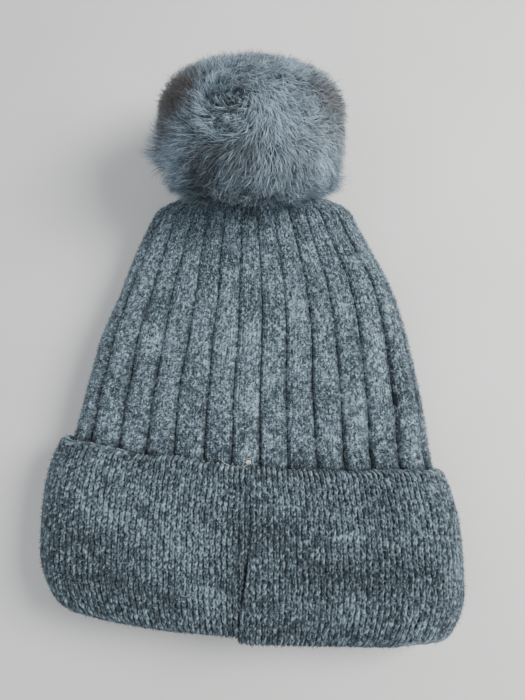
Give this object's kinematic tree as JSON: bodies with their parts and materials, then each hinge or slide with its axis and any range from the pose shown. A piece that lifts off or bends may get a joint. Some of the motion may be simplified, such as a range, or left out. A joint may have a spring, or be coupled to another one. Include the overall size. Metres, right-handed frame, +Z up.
{
  "type": "pom pom beanie",
  "caption": "Ribbed knit beanie lying flat, with a deep turned-up cuff, a fleece lining and a large faux-fur pompom on a press stud.",
  "frame": {"origin": "on the surface the hat lies on, under the middle of its box", "axes": "+Y from the mouth of the hat to its pompom, +X across the hat to the right as seen from above, +Z up"},
  "size_m": [0.236, 0.3277, 0.0964],
  "materials": {
    "crown_knit": "soft charcoal chenille rib knit",
    "cuff_knit": "soft charcoal chenille fine rib knit",
    "seam_yarn": "dark yarn",
    "tack_thread": "pale thread",
    "fleece": "brushed grey fleece",
    "hem_tape": "woven tape",
    "label_satin": "plain satin tape",
    "felt": "black felt",
    "snap_metal": "nickel plated",
    "faux_fur": "dense short faux fur, smoky grey",
    "filling": "white polyester fibre"
  },
  "bodies": {
    "hat": {"crown_shell": "crown_knit", "turned_cuff": "cuff_knit", "cuff_seam_yarn": "seam_yarn", "crown_seam_yarn": "seam_yarn", "cuff_tack_knot": "tack_thread", "lining_back_panel": "fleece", "lining_front_panel": "fleece", "lining_hem_tape": "hem_tape", "care_label": "label_satin"},
    "crown_tip": {"crown_gather_cord": "seam_yarn"},
    "socket": {"snap_socket": "snap_metal", "snap_socket_cap": "snap_metal", "tip_patch": "felt"},
    "spring_ring": {"snap_spring_ring": "snap_metal"},
    "pompom": {"snap_stud": "snap_metal", "snap_stud_cap": "snap_metal", "pompom_base_disc": "felt", "pompom_fur_cover": "faux_fur", "pompom_filling": "filling", "pompom_gather_cord": "seam_yarn"}
  },
  "joints": [
    {"name": "pompom_nod", "type": "hinge", "parent": "hat", "child": "crown_tip", "pos_m": [0, 0.09326, 0.03002], "axis": [1, 0, 0], "range_deg": [-12, 12], "stiffness_Nm_per_rad": 0.08},
    {"name": "pompom_sway", "type": "hinge", "parent": "crown_tip", "child": "socket", "pos_m": [0, 0.09326, 0.03002], "axis": [0, -0.491, 0.8712], "range_deg": [-12, 12], "stiffness_Nm_per_rad": 0.08},
    {"name": "pompom_spin", "type": "hinge", "parent": "socket", "child": "spring_ring", "pos_m": [0, 0.095, 0.031], "axis": [0, 0.8712, 0.491], "continuous": true},
    {"name": "pompom_pull_off", "type": "slide", "parent": "spring_ring", "child": "pompom", "axis": [0, 0.8712, 0.491], "range_m": [0, 0.02]}
  ]
}
